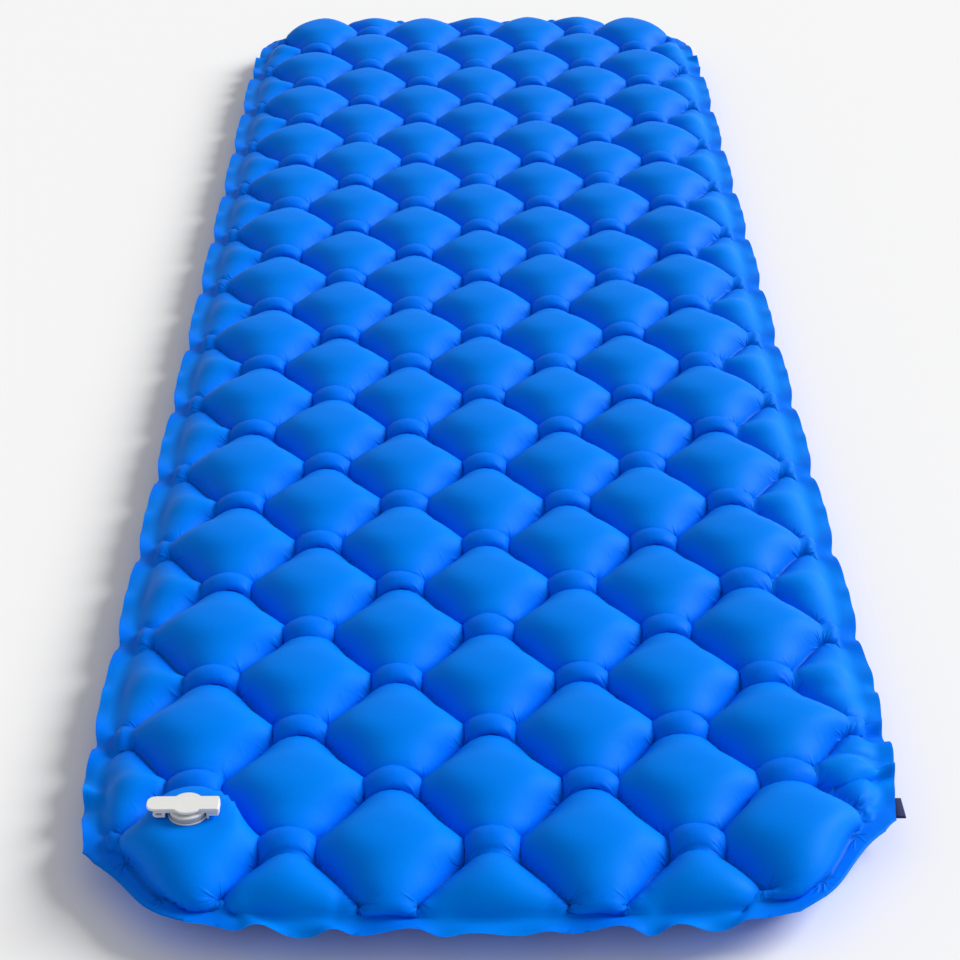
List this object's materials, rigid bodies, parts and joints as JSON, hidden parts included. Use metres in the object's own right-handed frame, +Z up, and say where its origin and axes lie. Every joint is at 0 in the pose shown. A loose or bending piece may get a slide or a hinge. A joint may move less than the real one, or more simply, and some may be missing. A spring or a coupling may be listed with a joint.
{
  "type": "inflatable sleeping pad",
  "caption": "Long inflatable camping pad quilted in diamond air cells with small junction cells between them, a welded flange all round and a flat two-stage lever valve at one corner.",
  "frame": {"origin": "on the floor under the middle of the inflated pad", "axes": "+X across the pad, +Y along it away from the valve end, +Z up out of the sleeping side"},
  "size_m": [0.6, 1.9, 0.066],
  "materials": {
    "film_top": "satin",
    "film_bottom": "satin",
    "valve_neck": "satin",
    "cap_plastic": "satin",
    "flap_rubber": "matte",
    "webbing": "matte"
  },
  "bodies": {
    "pad": {"top_sheet": "film_top", "bottom_sheet": "film_bottom", "valve_seat": "valve_neck", "tether_collar": "cap_plastic", "corner_tab": "webbing"},
    "deflate_lever": {"deflate_cap": "cap_plastic"},
    "inflate_lever": {"inflate_cap": "cap_plastic"},
    "flap": {"check_flap": "flap_rubber"}
  },
  "joints": [
    {"name": "deflate_hinge", "type": "hinge", "parent": "pad", "child": "deflate_lever", "pos_m": [-0.192, -0.857, 0.0614], "axis": [0, 1, 0], "range_deg": [0, 75]},
    {"name": "inflate_hinge", "type": "hinge", "parent": "deflate_lever", "child": "inflate_lever", "pos_m": [-0.192, -0.857, 0.06365], "axis": [0, 1, 0], "range_deg": [0, 110]},
    {"name": "flap_lift", "type": "slide", "parent": "deflate_lever", "child": "flap", "axis": [0, 0, -1], "range_m": [0, 0.0015], "stiffness_N_per_m": 50}
  ]
}
